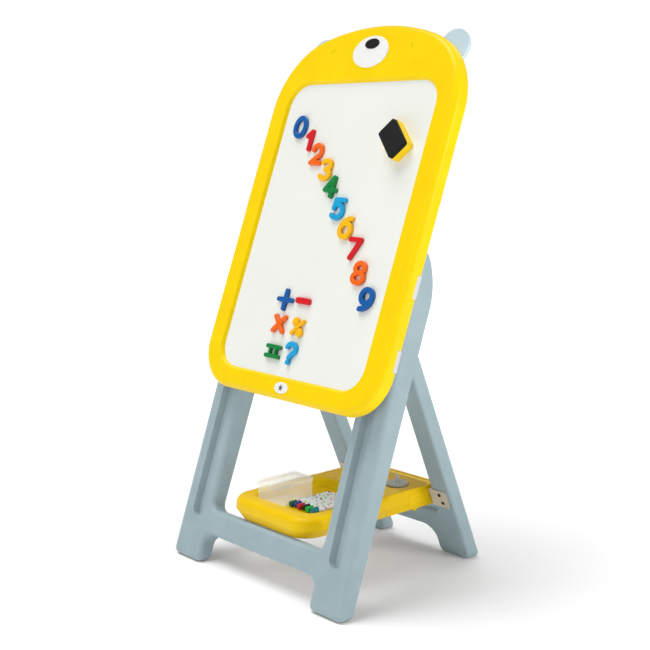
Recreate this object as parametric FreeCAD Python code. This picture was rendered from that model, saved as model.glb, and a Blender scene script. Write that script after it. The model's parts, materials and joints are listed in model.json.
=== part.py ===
"""Kids easel: folding two-sided drawing board with a pivoting tool tray.

Units are millimetres.  X runs to the right of a child facing the white board, Y runs
rearward and Z up.  The origin is on the floor, midway between the front and rear feet.

Each main sub-part is drawn flat in its own plane (u across, v up the plane, w towards
the front) and then set at its lean.
"""
import FreeCAD
import Part
import math
import os

V = FreeCAD.Vector

# ---------------------------------------------------------------- overall sizes
FOOT_WIDTH = 500.0            # across the outer edges of the front feet
LEG_TAPER = 21.2              # how much narrower the stand is at the leg tops
LEG_TOP_WIDTH = FOOT_WIDTH - LEG_TAPER
LEG_TOP_V = 660.0             # length of a front leg along its lean
LEG_FOOT_FACE = 86.7          # width of a front leg's face at the floor
LEG_TOP_FACE = 72.6           # width of a front leg's face at its top
LEG_ARC_V = 560.0             # the leg's back is straight up to here, then an arc
LEG_FOOT_DEPTH = 26.3
LEG_TOP_DEPTH = 46.6
LEG_EDGE_R = 9.0              # rounding of the front stand's face edges
FOOT_R = 12.0                 # rounding of the feet's lower corners
FRONT_LEAN = 17.83            # degrees, front legs lean rearward
FRONT_Y = -224.08             # front face of the front legs where it meets the floor
REAR_LEAN = -23.1             # degrees, rear legs lean forward
REAR_Y = 188.42               # front face of the rear legs where it meets the floor
BOARD_LEAN = 19.95            # degrees, the board leans a little more than its legs
BOARD_Y = -281.28             # board front plane where it would meet the floor

# ---------------------------------------------------------------- front stand
BAR_LOW = 59.6                # crossbar between the front legs, along the lean
BAR_HIGH = 107.0
TOP_BAR_LOW = 606.0
GROOVE_LOW = 86.0
GROOVE_HIGH = 440.0
GROOVE_DEPTH = 12.0
GROOVE_FLOOR_HALF = 10.5
GROOVE_FACE_HALF = 15.5
FOLD_V = 205.0                # fold detent dimple, along the front leg

# ---------------------------------------------------------------- rear stand
NEST_GAP = 1.6                # between a front leg and the rear leg inside it
REAR_TOP_HALF = LEG_TOP_WIDTH / 2 - LEG_TOP_FACE - NEST_GAP
REAR_FOOT_HALF = REAR_TOP_HALF - 6.6
REAR_DEPTH = 30.0
REAR_FACE = 45.6              # width of a rear leg's face
REAR_IN_LOW = REAR_FOOT_HALF - REAR_FACE
REAR_IN_HIGH = REAR_TOP_HALF - REAR_FACE - 1.1
REAR_FOOT_FACE = 78.6         # width of a rear foot
REAR_FOOT_IN = REAR_FOOT_HALF - REAR_FOOT_FACE
REAR_BAR_LOW = 57.0
REAR_BAR_HIGH = 100.0
REAR_TOP_BAR = 545.0
HINGE_V = 575.0               # pivot, along the rear leg
HINGE_R = 6.0
HINGE_CLEAR = 0.06            # running clearance on the radius
DETENT_V = 209.0

# ---------------------------------------------------------------- board
BOARD_OVERHANG = 13.0         # the board is this much wider than the leg tops
BOARD_HALF = LEG_TOP_WIDTH / 2 + BOARD_OVERHANG
BOARD_LOW = 361.0
BOARD_HIGH = 1081.0
BOARD_CORNER_R = 85.0
CROWN_R = 500.0
SHOULDER_R = 150.0
BOARD_THICK = 31.0
REAR_SHELL = 16.0             # the rear bezel's share of the thickness
SPLIT_W = REAR_SHELL - BOARD_THICK
SIDE_RAIL = 48.4
LOW_RAIL = 39.0
HEAD_RAIL = 109.5
OPEN_HALF = BOARD_HALF - SIDE_RAIL
OPEN_LOW = BOARD_LOW + LOW_RAIL
OPEN_HIGH = BOARD_HIGH - HEAD_RAIL
OPEN_R = 50.0
SHEET_RECESS = 6.0
SHEET_THICK = 1.2
SHEET_LAP = 9.0               # the sheets run this far under the bezels
CHALK_RECESS = 5.0
POCKET_CLEAR = 0.3
NOTCH_SPANS = ((451.0, 491.0), (581.0, 623.0))
NOTCH_DEPTH = 10.0
NOTCH_IN = BOARD_HALF - 24.4
CLIP_CLEAR = 0.4
MUZZLE_U = 0.0
MUZZLE_V = BOARD_HIGH - 54.0     # the muzzle and ears hang from the crown
EAR_V = BOARD_HIGH - 43.0
EAR_U = BOARD_HALF - 74.0
EAR_R = 36.0
EAR_THICK = 9.0
BADGE_U = 5.0
BADGE_V = BOARD_LOW + 21.0
SEAT_CLEAR = 0.3

# ---------------------------------------------------------------- tray
TRAY_Y = 158.62               # rear end of the tray
TRAY_Z = 108.9
TRAY_TILT = 1.5               # degrees, the front end hangs lower
TRAY_LEN = 345.0
TRAY_HEIGHT = 40.5
TRAY_SIDE_GAP = 7.0           # room for a bracket between the tray and a rear leg
TRAY_REAR_HALF = REAR_IN_LOW - TRAY_SIDE_GAP
TRAY_FRONT_HALF = TRAY_REAR_HALF + 14.0
TRAY_CORNER_R = 50.0
TRAY_NARROW = 125.0           # the narrow rear part is this long
TRAY_WIDE = 170.0             # and the wide basin starts here
CREASE_H = 17.0               # the wall is widest at this height
TRAY_FLOOR = 5.0
BASIN_FLOOR = 21.0
TRAY_WALL = 34.0              # fat double wall round the open basin
WELL_R = 24.0
BASIN_BACK = 138.0            # the open basin starts this far from the rear end
DIVIDER = 14.0
LID_THICK = 2.5
LID_HALF = TRAY_REAR_HALF - 6.5
LID_NEAR = 4.0
LID_FAR = BASIN_BACK - 8.0
LID_PIN_R = 1.12
KNOB_X = 51.0
KNOB_S = 60.0
KNOB_R = 20.4
KNOB_CLEAR = 0.1
FIN_TURN = 139.0              # degrees, how the finger fin points at rest
PIVOT_S = 18.0
PIVOT_H = 20.0
PIVOT_R = 3.5
BRACKET_THICK = 2.2
BRACKET_GAP = 2.2             # between the tray's side and a bracket
BRACKET_WIDE = 44.0           # flange across the rear leg's face

# ---------------------------------------------------------------- loose pieces
MAGNET_THICK = 6.5
ERASER_U = 135.5
ERASER_V = 853.5
STROKE = 9.2                  # stroke width of the magnetic signs
MARKER_R = 5.3
CAP_R = 5.5
MARKER_LEN = 97.0
MARKER_CAP = 15.0
MARKER_NECK = 9.5
MARKER_PITCH = 12.0
MARKER_X = -19.5
MARKER_FRONT = 270.0          # the tips lie this far from the tray's rear end
REST_CLEAR = 0.3              # under what lies in the basin
BOX_X = -55.5                 # middle of the clear box
BOX_FRONT = 297.0
BOX_WIDE = 57.0
BOX_LONG = 91.0
BOX_TOP = 66.5
BOX_RIM = 57.5                # the cap of the box reaches down to here
BOX_WALL = 1.8
CAP_WALL = 1.4


def plane(y0, lean):
    """Placement of a leaning plane: u across, v up the plane, w to the front."""
    return FreeCAD.Placement(V(0, y0, 0), FreeCAD.Rotation(V(1, 0, 0), 90.0 - lean))


FRONT = plane(FRONT_Y, FRONT_LEAN)
REAR = plane(REAR_Y, REAR_LEAN)
BOARD = plane(BOARD_Y, BOARD_LEAN)
TRAY = FreeCAD.Placement(V(0, TRAY_Y, TRAY_Z), FreeCAD.Rotation(V(1, 0, 0), TRAY_TILT))


def put(shape, place):
    """Copy of a shape set into place."""
    out = shape.copy()
    out.Placement = place.multiply(out.Placement)
    return out


def box(x0, x1, y0, y1, z0, z1):
    return Part.makeBox(x1 - x0, y1 - y0, z1 - z0, V(x0, y0, z0))


def rod(base, axis, radius, length):
    return Part.makeCylinder(radius, length, V(*base), V(*axis))


def fuse(shapes):
    out = shapes[0]
    if len(shapes) > 1:
        out = shapes[0].multiFuse(shapes[1:])
    return out.removeSplitter()


def wire(points, radii):
    """Closed flat wire through corner points, each corner rounded by its radius."""
    n = len(points)
    if not isinstance(radii, (list, tuple)):
        radii = [radii] * n
    starts = []
    ends = []
    mids = []
    for i in range(n):
        p = V(points[i][0], points[i][1], 0)
        a = (V(points[i - 1][0], points[i - 1][1], 0) - p).normalize()
        b = (V(points[(i + 1) % n][0], points[(i + 1) % n][1], 0) - p).normalize()
        half = a.getAngle(b) / 2.0
        if radii[i] < 0.01 or abs(half - math.pi / 2) < 1e-6:
            starts.append(p)
            ends.append(p)
            mids.append(None)
            continue
        run = radii[i] / math.tan(half)
        centre = p + (a + b).normalize() * (radii[i] / math.sin(half))
        starts.append(p + a * run)
        ends.append(p + b * run)
        mids.append(centre + (p - centre).normalize() * radii[i])
    edges = []
    for i in range(n):
        if mids[i] is not None:
            edges.append(Part.Arc(starts[i], mids[i], ends[i]).toShape())
        nxt = starts[(i + 1) % n]
        if ends[i].distanceToPoint(nxt) > 1e-6:
            edges.append(Part.makeLine(ends[i], nxt))
    return Part.Wire(Part.__sortEdges__(edges))


def slab(outline, w0, w1):
    """Solid between two heights with a flat outline."""
    face = Part.Face(outline)
    face.translate(V(0, 0, w0))
    return face.extrude(V(0, 0, w1 - w0))


def taper(lower, w0, upper, w1):
    """Solid between two outlines of the same form."""
    a = lower.copy()
    a.translate(V(0, 0, w0))
    b = upper.copy()
    b.translate(V(0, 0, w1))
    return Part.makeLoft([a, b], True, True)


def rect(x0, x1, y0, y1, r):
    return wire([(x0, y0), (x1, y0), (x1, y1), (x0, y1)], r)


def side_solid(points, arcs, half):
    """Solid drawn in the v-w plane and run across u.  arcs maps a point index to the
    middle point of an arc that replaces the straight line leaving that point."""
    edges = []
    n = len(points)
    for i in range(n):
        a = V(-half, points[i][0], points[i][1])
        b = V(-half, points[(i + 1) % n][0], points[(i + 1) % n][1])
        if i in arcs:
            m = V(-half, arcs[i][0], arcs[i][1])
            edges.append(Part.Arc(a, m, b).toShape())
        else:
            edges.append(Part.makeLine(a, b))
    return Part.Face(Part.Wire(edges)).extrude(V(2 * half, 0, 0))


def flat_edges(shape, w, tol=0.05):
    """Edges lying in the plane at height w."""
    out = []
    for e in shape.Edges:
        if all(abs(p.z - w) < tol for p in e.discretize(5)):
            out.append(e)
    return out


def soften(shape, w, radius):
    """Round every edge at height w."""
    return shape.makeFillet(radius, flat_edges(shape, w))


def drilled(body, cutters):
    """A body with room cut for its screws and pins."""
    for cutter in cutters:
        body = body.cut(cutter)
    return body


def above_floor(shape):
    return shape.common(box(-400, 400, -400, 400, 0, 1300))


def rounded_feet(shape, place, radius):
    """Cut a leaning frame at the floor and round the lower corners of its feet."""
    body = above_floor(put(shape, place))
    corners = []
    for e in body.Edges:
        ends = e.discretize(3)
        across = abs(ends[0].x - ends[-1].x) < 0.6 and e.Length > 15.0
        if across and all(abs(p.z) < 0.01 for p in ends):
            corners.append(e)
    body = body.makeFillet(radius, corners)
    return put(body, place.inverse())


def mirror_x(shape):
    return shape.mirror(V(0, 0, 0), V(1, 0, 0))


def both(shape):
    """A shape and its mirror image across the middle plane."""
    return [shape, mirror_x(shape)]


def leg_half(v):
    """Outer half width of the front legs at v along the lean."""
    return FOOT_WIDTH / 2 + (LEG_TOP_WIDTH - FOOT_WIDTH) / 2 * v / LEG_TOP_V


def leg_inner(v):
    """Inner half width of the front legs."""
    face = LEG_FOOT_FACE + (LEG_TOP_FACE - LEG_FOOT_FACE) * v / LEG_TOP_V
    return leg_half(v) - face


def leg_depth(v):
    return LEG_FOOT_DEPTH + (LEG_TOP_DEPTH - LEG_FOOT_DEPTH) * v / 565.0


def board_outline(inset):
    """Bezel outline: round lower corners, wide shoulders and a low crown."""
    hb = BOARD_HALF - inset
    low = BOARD_LOW + inset
    rc = BOARD_CORNER_R - inset
    big = CROWN_R - inset
    rt = SHOULDER_R - inset
    cx = hb - rt
    cy = BOARD_HIGH - CROWN_R
    dy = math.sqrt((big - rt) ** 2 - cx ** 2)
    yc = cy + dy
    ang = math.atan2(dy, cx)

    def arc(ox, oy, r, a0, a1):
        pts = []
        for a in (a0, (a0 + a1) / 2, a1):
            pts.append(V(ox + r * math.cos(a), oy + r * math.sin(a), 0))
        return Part.Arc(*pts).toShape()

    quarter = math.pi / 2
    edges = [
        arc(hb - rc, low + rc, rc, -quarter, 0),
        Part.makeLine(V(hb, low + rc, 0), V(hb, yc, 0)),
        arc(cx, yc, rt, 0, ang),
        arc(0, cy, big, ang, math.pi - ang),
        arc(-cx, yc, rt, math.pi - ang, math.pi),
        Part.makeLine(V(-hb, yc, 0), V(-hb, low + rc, 0)),
        arc(-hb + rc, low + rc, rc, math.pi, 1.5 * math.pi),
        Part.makeLine(V(-hb + rc, low, 0), V(hb - rc, low, 0)),
    ]
    return Part.Wire(Part.__sortEdges__(edges))


def opening(grow):
    return rect(-OPEN_HALF - grow, OPEN_HALF + grow, OPEN_LOW - grow, OPEN_HIGH + grow,
                OPEN_R + grow)


def hinge_point():
    """Pivot of the rear legs, in world coordinates."""
    return REAR.multVec(V(0, HINGE_V, -REAR_DEPTH / 2))


# ================================================================ front stand
def front_frame():
    """Two grooved legs with a low crossbar and a bar behind the board, one moulding."""
    t = LEG_TOP_V
    outline = wire([
        (-leg_half(-20), -20), (-leg_inner(-20), -20),
        (-leg_inner(BAR_LOW), BAR_LOW), (leg_inner(BAR_LOW), BAR_LOW),
        (leg_inner(-20), -20), (leg_half(-20), -20),
        (leg_half(t), t), (-leg_half(t), t),
    ], [0, 0, 20, 20, 0, 0, 22, 22])
    window = wire([
        (-leg_inner(BAR_HIGH), BAR_HIGH), (leg_inner(BAR_HIGH), BAR_HIGH),
        (leg_inner(TOP_BAR_LOW), TOP_BAR_LOW), (-leg_inner(TOP_BAR_LOW), TOP_BAR_LOW),
    ], [18, 18, 12, 12])
    body = slab(outline, -60, 0).cut(slab(window, -61, 1))
    back = side_solid(
        [(-20, 0), (-20, -leg_depth(-20)), (LEG_ARC_V, -leg_depth(LEG_ARC_V)), (t, -2.0),
         (t, 0)],
        {2: (LEG_ARC_V + 0.545 * (t - LEG_ARC_V), 0.742 * -leg_depth(LEG_ARC_V))}, 400)
    body = body.common(back)
    body = rounded_feet(body, FRONT, FOOT_R)
    body = soften(body, 0, LEG_EDGE_R)
    for sx in (-1, 1):
        low = groove(sx, GROOVE_FLOOR_HALF)
        high = groove(sx, GROOVE_FACE_HALF)
        body = body.cut(taper(low, -GROOVE_DEPTH, high, 0.2))
        dimple = Part.makeSphere(26.0, V(sx * (leg_inner(FOLD_V) - 24.2), FOLD_V, -13.0))
        body = body.cut(dimple)
    body = put(body, FRONT)
    # the board's back plane trims the leg tops into a flat seat
    seat = put(box(-400, 400, 300, 1200, -BOARD_THICK - SEAT_CLEAR, 200), BOARD)
    body = body.cut(seat)
    return drilled(body, hinge_pins() + clip_screws())


def groove(sx, half):
    """Outline of the long groove in a front leg's face."""
    u0 = sx * (leg_half(GROOVE_LOW) - 44.6)
    u1 = sx * (leg_half(GROOVE_HIGH) - 43.9)
    return wire([
        (u0 - half, GROOVE_LOW), (u0 + half, GROOVE_LOW),
        (u1 + half, GROOVE_HIGH), (u1 - half, GROOVE_HIGH),
    ], half * 0.96)


def hinge_pins():
    """A pivot pin each side, pressed into a front leg and running in a rear leg."""
    c = hinge_point()
    x0 = REAR_TOP_HALF - 33.2
    x1 = REAR_TOP_HALF + NEST_GAP + 39.2
    pin = rod((x0, c.y, c.z), (1, 0, 0), HINGE_R, x1 - x0)
    return both(pin)


# ================================================================ rear stand
def rear_frame():
    """Rear legs with a low crossbar and a round-topped upper bar, one moulding."""
    top = HINGE_V + REAR_DEPTH / 2
    slope = (REAR_TOP_HALF - REAR_FOOT_HALF) / 590.0
    outline = wire([
        (-REAR_FOOT_HALF + 20 * slope, -20), (-REAR_FOOT_IN, -20),
        (-REAR_FOOT_IN - 3, REAR_BAR_LOW), (REAR_FOOT_IN + 3, REAR_BAR_LOW),
        (REAR_FOOT_IN, -20), (REAR_FOOT_HALF - 20 * slope, -20),
        (REAR_TOP_HALF, top), (-REAR_TOP_HALF, top),
    ], [0, 0, 28, 28, 0, 0, 0, 0])
    window = wire([
        (-REAR_IN_LOW, REAR_BAR_HIGH), (REAR_IN_LOW, REAR_BAR_HIGH),
        (REAR_IN_HIGH, REAR_TOP_BAR), (-REAR_IN_HIGH, REAR_TOP_BAR),
    ], [10, 10, 24, 24])
    body = slab(outline, -REAR_DEPTH, 0).cut(slab(window, -61, 1))
    body = rounded_feet(body, REAR, FOOT_R)
    r = REAR_DEPTH / 2
    profile = side_solid(
        [(-20, 0), (-20, -REAR_DEPTH), (HINGE_V, -REAR_DEPTH), (HINGE_V, 0)],
        {2: (HINGE_V + r, -r)}, 400)
    low = box(-400, 400, -30, HINGE_V - 30, -61, 1)
    shaft = body.common(low)
    shaft = shaft.makeFillet(5.0, [e for e in flat_edges(shaft, 0) if wide(e)]
                             + [e for e in flat_edges(shaft, -REAR_DEPTH) if wide(e)])
    head = body.common(profile).cut(low)
    body = shaft.fuse(head)
    for sx in (-1, 1):
        bump = Part.makeSphere(13.0, V(sx * (REAR_FOOT_HALF - 9.0), DETENT_V, -12.0))
        mid = sx * REAR_FOOT_HALF
        room = box(mid - 28, mid + 28, DETENT_V - 12, DETENT_V + 12, -24, -1)
        body = body.fuse(bump.common(room))
    body = put(body, REAR)
    c = hinge_point()
    blind = REAR_TOP_HALF - 34.2
    bores = both(rod((blind, c.y, c.z), (1, 0, 0), HINGE_R + HINGE_CLEAR, 60))
    return drilled(body, bores + bracket_screws())


def wide(edge):
    """True for an edge that is not on the cut line below the pivot."""
    return not all(abs(p.y - (HINGE_V - 30)) < 0.1 for p in edge.discretize(3))


# ================================================================ board
def board_front_bezel():
    body = slab(board_outline(0), SPLIT_W, 0)
    body = soften(body, 0, 11.0)
    body = body.cut(taper(opening(-2.5), -SHEET_RECESS, opening(2.5), 0.2))
    body = body.cut(slab(opening(SHEET_LAP + POCKET_CLEAR), SPLIT_W - 1, -SHEET_RECESS))
    body = body.cut(slab(opening(-2.5), -SHEET_RECESS - 1, 0.1))
    for sx in (-1, 1):
        body = body.cut(comma(sx))
    return put(body, BOARD)


def comma(sx):
    """Small curved dent that makes one closed eye of the face."""
    cx = sx * 103.5
    v = MUZZLE_V + 1.0
    ring = rod((cx, v, -1.4), (0, 0, 1), 10.0, 3.0)
    ring = ring.cut(rod((cx, v, -2), (0, 0, 1), 5.6, 5.0))
    return ring.common(box(min(cx, cx + sx * 12), max(cx, cx + sx * 12), v, v + 12, -3, 3))


def board_rear_bezel():
    back = -BOARD_THICK
    body = slab(board_outline(0), back, SPLIT_W)
    body = soften(body, back, 6.0)
    body = body.cut(slab(opening(SHEET_LAP + POCKET_CLEAR), back + CHALK_RECESS, SPLIT_W + 1))
    body = body.cut(taper(opening(2.5), back - 0.2, opening(-2.5), back + CHALK_RECESS + 0.1))
    for sx in (-1, 1):
        for v0, v1 in NOTCH_SPANS:
            a = sx * NOTCH_IN
            b = sx * (BOARD_HALF + 10)
            body = body.cut(box(min(a, b), max(a, b), v0, v1, back - 1, back + NOTCH_DEPTH))
    pads = []
    for sx in (-1, 1):
        a = sx * (NOTCH_IN - 19.0)
        b = sx * (NOTCH_IN - 3.0)
        pads.append(box(min(a, b), max(a, b), 420, 560, back - 30, back + 4))
    body = put(body, BOARD)
    behind = put(box(-400, 400, -100, 1200, -200, SEAT_CLEAR), FRONT)
    for pad in pads:
        body = body.fuse(put(pad, BOARD).cut(behind))
    return drilled(body, board_screws())


def sheet(w0, w1):
    return put(slab(opening(SHEET_LAP), w0, w1), BOARD)


def board_screws():
    """Flush heads round the rear bezel."""
    back = -BOARD_THICK
    spots = []
    for sx in (-1, 1):
        u = sx * (BOARD_HALF - 20.4)
        spots += [(u, 540), (u, 700), (u, 860), (sx * 120, BADGE_V)]
    spots += [(0, MUZZLE_V - 17), (-120, MUZZLE_V - 27), (120, MUZZLE_V - 27)]
    out = []
    for u, v in spots:
        head = rod((u, v, back), (0, 0, 1), 4.6, 2.2)
        head = soften(head, back, 0.6)
        head = head.fuse(rod((u, v, back + 1.0), (0, 0, 1), 1.9, 10.0))
        out.append(put(head, BOARD))
    return out


def ear(sx):
    """Round ear screwed on behind the shoulder of the board."""
    back = -BOARD_THICK
    disc = rod((sx * EAR_U, EAR_V, back - EAR_THICK), (0, 0, 1), EAR_R, EAR_THICK)
    disc = soften(disc, back - EAR_THICK, 3.4)
    a = sx * (EAR_U - 33)
    b = sx * (EAR_U + 7)
    tab = slab(rect(min(a, b), max(a, b), EAR_V - 53, EAR_V - 8, 10), back - 5, back)
    return put(fuse([disc, tab]), BOARD)


def oval(cx, cy, a, b):
    axis = Part.Ellipse(V(cx, cy, 0), a, b)
    return Part.Wire([axis.toShape()])


def muzzle_plate():
    plate = slab(oval(MUZZLE_U, MUZZLE_V, 47, 31), 0, 2.0)
    return put(soften(plate, 2.0, 1.0), BOARD)


def nose():
    plate = slab(oval(MUZZLE_U + 1.0, MUZZLE_V + 15, 19, 10), 2.0, 3.2)
    return put(soften(plate, 3.2, 0.6), BOARD)


def badge():
    plate = slab(oval(BADGE_U, BADGE_V, 18.5, 10.5), 0, 1.6)
    return put(soften(plate, 1.6, 0.8), BOARD)


def badge_motif():
    """Plain five-pointed star on the badge."""
    pts = []
    for i in range(10):
        r = 6.2 if i % 2 == 0 else 2.7
        a = math.radians(90 + 36 * i)
        pts.append((BADGE_U + r * math.cos(a), BADGE_V + r * math.sin(a)))
    return put(slab(wire(pts, 0), 1.6, 2.4), BOARD)


def board_clips():
    """Four blocks screwed to the legs; the board's side notches drop over them."""
    back = -BOARD_THICK
    frame_back = put(box(-400, 400, -100, 1200, -200, 0), FRONT)
    out = []
    for sx in (-1, 1):
        for v0, v1 in NOTCH_SPANS:
            lo = v0 + CLIP_CLEAR
            hi = v1 - CLIP_CLEAR
            a = sx * (NOTCH_IN + CLIP_CLEAR)
            b = sx * (BOARD_HALF - 1.2)
            block = box(min(a, b), max(a, b), lo, hi, back, back + NOTCH_DEPTH - CLIP_CLEAR)
            c = sx * (NOTCH_IN + CLIP_CLEAR)
            d = sx * (LEG_TOP_WIDTH / 2)
            foot = box(min(c, d), max(c, d), lo + 3, hi - 3, back - 25, back)
            foot = put(foot, BOARD).cut(frame_back)
            clip = fuse([put(block, BOARD), foot])
            out.append(drilled(clip, clip_screws()))
    return out


def clip_screws():
    """One screw through each clip into its leg."""
    back = -BOARD_THICK
    out = []
    for sx in (-1, 1):
        for v0, v1 in NOTCH_SPANS:
            mid = (v0 + v1) / 2
            screw = rod((sx * (NOTCH_IN + 6.5), mid, back - 22), (0, 0, 1), 1.8, 22 + NOTCH_DEPTH - 4)
            head = rod((sx * (NOTCH_IN + 6.5), mid, back + NOTCH_DEPTH - 4), (0, 0, 1), 3.4, 2.2)
            out.append(put(fuse([screw, head]), BOARD))
    return out


# ================================================================ tray
def tray_outline(rear, front, trim):
    """Narrow rear end between the rear legs and a wider round-cornered front.

    rear and front are the half widths, trim is how far the front end is drawn in."""
    far = trim - TRAY_LEN
    r = TRAY_CORNER_R - trim
    return wire([
        (-rear, 0), (-rear, -TRAY_NARROW), (-front, -TRAY_WIDE), (-front, far),
        (front, far), (front, -TRAY_WIDE), (rear, -TRAY_NARROW), (rear, 0),
    ][::-1], [6, 40, 40, r, r, 40, 40, 6])


def tray_shell():
    """Outer form of the tray: drawn in below the crease, rolled over at the rim."""
    a = TRAY_REAR_HALF
    b = TRAY_FRONT_HALF
    h = TRAY_HEIGHT
    base = tray_outline(a - 4.0, a - 2.5, 8.0)
    crease = tray_outline(a, b, 0.0)
    lower = taper(base, 0, crease, CREASE_H)
    rim = [
        (CREASE_H, a, b, 0.0), (h - 13.0, a - 0.2, b - 0.6, 0.5), (h - 7.0, a - 0.6, b - 2.2, 2.0),
        (h - 3.0, a - 1.1, b - 5.4, 5.2), (h - 0.8, a - 1.6, b - 10.0, 9.8), (h, a - 1.9, b - 14.0, 14.0),
    ]
    rings = []
    for height, rear, front, trim in rim:
        ring_wire = tray_outline(rear, front, trim)
        ring_wire.translate(V(0, 0, height))
        rings.append(ring_wire)
    upper = Part.makeLoft(rings, True, False)
    return lower.fuse(upper)


def tray_basin():
    h = TRAY_HEIGHT
    body = tray_shell()
    inner = TRAY_FRONT_HALF - TRAY_WALL
    well = slab(rect(-inner, inner, -TRAY_LEN + TRAY_WALL, -BASIN_BACK, WELL_R),
                BASIN_FLOOR, h + 1)
    well = well.makeFillet(2.5, flat_edges(well, BASIN_FLOOR))
    body = body.cut(well)
    rim = [e for e in flat_edges(body, h) if in_well(e)]
    body = body.makeFillet(4.0, rim)
    inner = LID_HALF - 6.0
    store = slab(rect(-inner, inner, DIVIDER - BASIN_BACK, -LID_NEAR - 8, 14),
                 TRAY_FLOOR, h + 1)
    store = store.makeFillet(6.0, flat_edges(store, TRAY_FLOOR))
    body = body.cut(store)
    ledge = slab(rect(-LID_HALF - 0.5, LID_HALF + 0.5, -LID_FAR - 0.5, -LID_NEAR + 1.2,
                      [6, 6, 2, 2]), h - LID_THICK - 0.15, h + 1)
    body = body.cut(ledge)
    body = drilled(body, lid_pins(HINGE_CLEAR))
    for sx in (-1, 1):
        a = sx * (TRAY_REAR_HALF - 5.0)
        b = sx * (TRAY_REAR_HALF + 0.6)
        body = body.fuse(box(min(a, b), max(a, b), -82, -46, 11, 32))
        rib = side_solid([(-38, 0.5), (-58, 0.5), (-56, -8), (-52, -8)], {}, 1.6)
        rib.translate(V(sx * (TRAY_REAR_HALF - 14), 0, 0))
        body = body.fuse(rib)
    body = put(body, TRAY)
    return drilled(body, tray_pivots(PIVOT_R + HINGE_CLEAR))


def in_well(edge):
    """True for a rim edge that runs round the open basin's mouth."""
    inner = TRAY_FRONT_HALF - TRAY_WALL + 0.1
    for p in edge.discretize(5):
        if abs(p.x) > inner or p.y > 0.1 - BASIN_BACK or p.y < TRAY_WALL - TRAY_LEN - 0.1:
            return False
    return True


def lid_pins(grow):
    """Stub pins at the lid's rear corners, on the lid's hinge line."""
    h = TRAY_HEIGHT - LID_THICK / 2
    pin = rod((LID_HALF - 2, -LID_NEAR - 1.3, h), (1, 0, 0), LID_PIN_R + grow,
              4.2 + grow)
    return both(pin)


def tray_lid():
    """Clear plate with a round rear edge, hinged on its two stub pins."""
    h = TRAY_HEIGHT
    plate = slab(rect(-LID_HALF, LID_HALF, -LID_FAR, -LID_NEAR, 4.5), h - LID_THICK, h)
    rear = [e for e in plate.Edges
            if all(abs(p.y + LID_NEAR) < 0.01 for p in e.discretize(3)) and e.Length > 50]
    plate = plate.makeFillet(1.2, rear)
    plate = plate.fuse(lid_pins(0.0)[0]).fuse(lid_pins(0.0)[1])
    hole = rod((KNOB_X, -KNOB_S, 0), (0, 0, 1), KNOB_R + KNOB_CLEAR, 60)
    plate = plate.cut(hole)
    rim = rod((KNOB_X, -KNOB_S, h), (0, 0, 1), KNOB_R + 3.0, 1.4)
    rim = rim.cut(rod((KNOB_X, -KNOB_S, h - 1), (0, 0, 1), KNOB_R + KNOB_CLEAR, 5))
    return put(plate.fuse(rim), TRAY)


def lid_knob():
    """Turning disc with a finger fin, held by a flange under the lid."""
    h = TRAY_HEIGHT
    disc = rod((KNOB_X, -KNOB_S, h - LID_THICK - 0.2), (0, 0, 1), KNOB_R, LID_THICK + 1.2)
    flange = rod((KNOB_X, -KNOB_S, h - LID_THICK - 2.2), (0, 0, 1), KNOB_R + 2.4, 2.0)
    fin = slab(rect(-15, 15, -3.0, 3.0, 2.9), h, h + 14)
    fin = soften(fin, h + 14, 2.0)
    fin.rotate(V(0, 0, 0), V(0, 0, 1), FIN_TURN)
    fin.translate(V(KNOB_X, -KNOB_S, 0))
    return put(fuse([disc, flange, fin]), TRAY)


def tray_pivots(radius):
    """Pivot pins from the brackets into the tray's side walls."""
    extra = radius - PIVOT_R
    reach = 7.0 + BRACKET_GAP + BRACKET_THICK + 0.4
    pin = rod((TRAY_REAR_HALF - 7.0 - extra, -PIVOT_S, PIVOT_H), (1, 0, 0), radius,
              reach + 2 * extra)
    return [put(p, TRAY) for p in both(pin)]


def tray_bracket(sx):
    """Angle plate: one flange screwed to a rear leg's face, one beside the tray."""
    near = TRAY_REAR_HALF + BRACKET_GAP
    a = sx * near
    b = sx * (near + BRACKET_WIDE)
    face = slab(rect(min(a, b), max(a, b), 119, 157, 4), 0.0, 2.0)
    c = sx * near
    d = sx * (near + BRACKET_THICK)
    arm = box(min(c, d), max(c, d), 122, 150, -20, 2.0)
    body = put(fuse([face, arm]), REAR)
    return drilled(body, tray_pivots(PIVOT_R) + bracket_screws())


def bracket_screws():
    out = []
    for sx in (-1, 1):
        for u, v in ((REAR_IN_LOW + 21.0, 146.7), (REAR_IN_LOW + 25.0, 129.6)):
            head = rod((sx * u, v, 2.0), (0, 0, 1), 3.6, 1.6)
            head = soften(head, 3.6, 1.0)
            shank = rod((sx * u, v, -16), (0, 0, 1), 1.7, 18.0)
            out.append(put(fuse([head, shank]), REAR))
    return out


def box_outline(grow, r):
    """Plan of the clear box, grown outwards."""
    x = BOX_WIDE / 2 + grow
    return rect(BOX_X - x, BOX_X + x, -BOX_FRONT - grow, BOX_LONG - BOX_FRONT + grow, r)


def box_base():
    foot = BASIN_FLOOR + REST_CLEAR
    body = slab(box_outline(0, 5), foot, BOX_TOP - 4)
    hollow = slab(box_outline(-BOX_WALL, 3.2), foot + BOX_WALL, BOX_TOP)
    return put(body.cut(hollow), TRAY)


def box_lid():
    """Cap that slips down over the clear box."""
    body = slab(box_outline(CAP_WALL + POCKET_CLEAR, 6.7), BOX_RIM, BOX_TOP)
    body = soften(body, BOX_TOP, 1.5)
    hollow = slab(box_outline(POCKET_CLEAR, 5.3), BOX_RIM - 1, BOX_TOP - 3.8)
    upper = slab(box_outline(-BOX_WALL, 3.2), BOX_TOP - 4, BOX_TOP - CAP_WALL)
    return put(body.cut(hollow).cut(upper), TRAY)


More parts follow.
